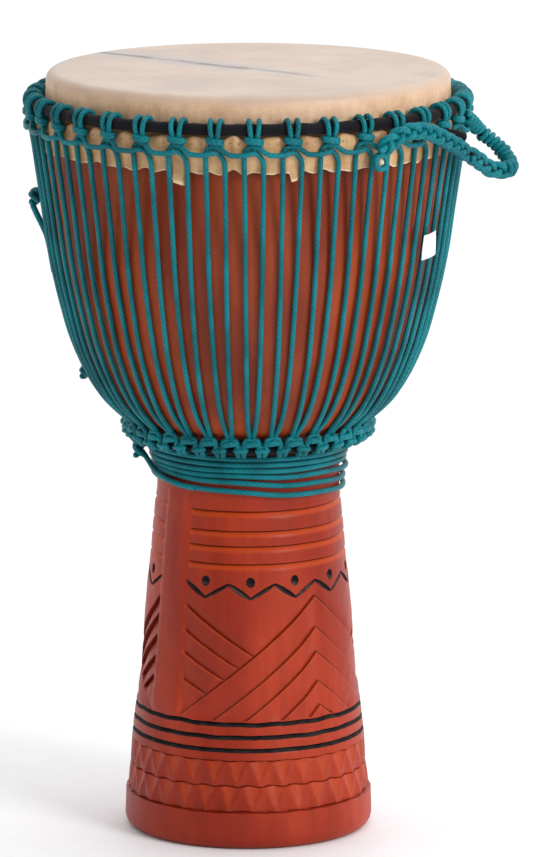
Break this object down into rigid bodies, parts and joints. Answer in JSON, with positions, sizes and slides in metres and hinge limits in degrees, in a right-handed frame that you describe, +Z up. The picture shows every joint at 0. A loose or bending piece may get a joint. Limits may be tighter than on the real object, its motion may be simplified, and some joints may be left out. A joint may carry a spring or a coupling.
{
  "type": "djembe drum",
  "caption": "Carved wooden goblet drum with a rope-laced goatskin head, cloth-wrapped rings, waist wraps and a swinging rope carrying loop at the crown.",
  "frame": {"origin": "on the drum's axis, in the plane that the foot stands on", "axes": "+Z up along the drum's axis from foot to head, -Y the front, +X towards the carrying loop"},
  "size_m": [0.3902, 0.3563, 0.61],
  "materials": {
    "wood": "satin oiled hardwood, carved",
    "hide": "raw shaved goatskin",
    "steel": "bare rod",
    "black_cloth": "tightly wrapped cotton strip",
    "teal_rope": "braided synthetic cord",
    "paper": "matt, blank"
  },
  "bodies": {
    "drum": {"shell": "wood", "head_skin": "hide", "flesh_ring": "steel", "crown_ring": "steel", "crown_ring_cloth": "black_cloth", "bottom_ring": "steel", "bottom_ring_cloth": "black_cloth", "crown_loop_rope": "teal_rope", "bottom_loop_rope": "teal_rope", "lacing_rope": "teal_rope", "waist_wrap_rope": "teal_rope", "waist_tie_knot": "teal_rope", "lacing_tail_knot": "teal_rope", "side_knot": "teal_rope", "side_strand": "teal_rope", "ring_chain": "teal_rope", "chain_eye": "teal_rope", "paper_tag": "paper"},
    "handle": {"handle_core": "black_cloth", "handle_wrap_rope": "teal_rope", "handle_chain": "teal_rope"}
  },
  "joints": [
    {"name": "handle_swing", "type": "hinge", "parent": "drum", "child": "handle", "pos_m": [0.1773, -0.04619, 0.5577], "axis": [-0.168, -0.9674, -0.1894], "range_deg": [-40, 115]}
  ]
}
